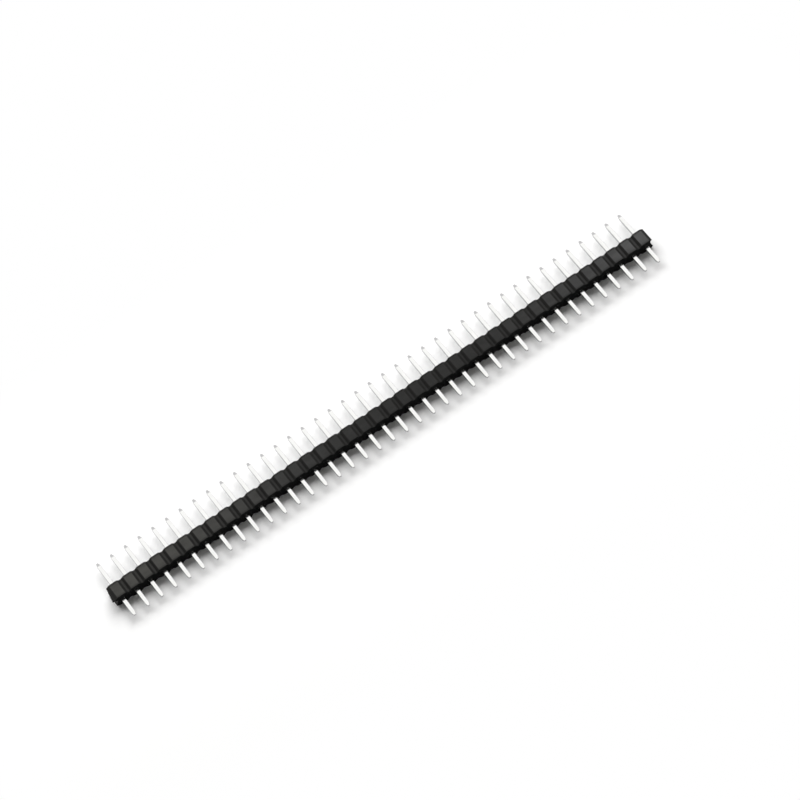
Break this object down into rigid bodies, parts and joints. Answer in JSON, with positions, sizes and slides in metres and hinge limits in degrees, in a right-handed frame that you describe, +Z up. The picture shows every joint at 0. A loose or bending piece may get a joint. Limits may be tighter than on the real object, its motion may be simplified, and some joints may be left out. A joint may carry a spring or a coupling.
{
  "type": "pin header strip",
  "caption": "Straight single-row break-away pin header: a notched plastic housing carries square plated pins, with short board tails on one side and longer mating ends on the other.",
  "frame": {"origin": "middle of the strip on the surface it lies on", "axes": "+X along the row of pins, +Y from the board tails to the mating ends, +Z up from the side it lies on"},
  "size_m": [0.102, 0.0108, 0.0025],
  "materials": {
    "housing_plastic": "as moulded, fine satin",
    "pin_plating": "tin-plated, bright satin"
  },
  "bodies": {
    "root": {"housing": "housing_plastic", "pin_01": "pin_plating", "pin_02": "pin_plating", "pin_03": "pin_plating", "pin_04": "pin_plating", "pin_05": "pin_plating", "pin_06": "pin_plating", "pin_07": "pin_plating", "pin_08": "pin_plating", "pin_09": "pin_plating", "pin_10": "pin_plating", "pin_11": "pin_plating", "pin_12": "pin_plating", "pin_13": "pin_plating", "pin_14": "pin_plating", "pin_15": "pin_plating", "pin_16": "pin_plating", "pin_17": "pin_plating", "pin_18": "pin_plating", "pin_19": "pin_plating", "pin_20": "pin_plating", "pin_21": "pin_plating", "pin_22": "pin_plating", "pin_23": "pin_plating", "pin_24": "pin_plating", "pin_25": "pin_plating", "pin_26": "pin_plating", "pin_27": "pin_plating", "pin_28": "pin_plating", "pin_29": "pin_plating", "pin_30": "pin_plating", "pin_31": "pin_plating", "pin_32": "pin_plating", "pin_33": "pin_plating", "pin_34": "pin_plating", "pin_35": "pin_plating", "pin_36": "pin_plating", "pin_37": "pin_plating", "pin_38": "pin_plating", "pin_39": "pin_plating", "pin_40": "pin_plating"}
  },
  "joints": []
}
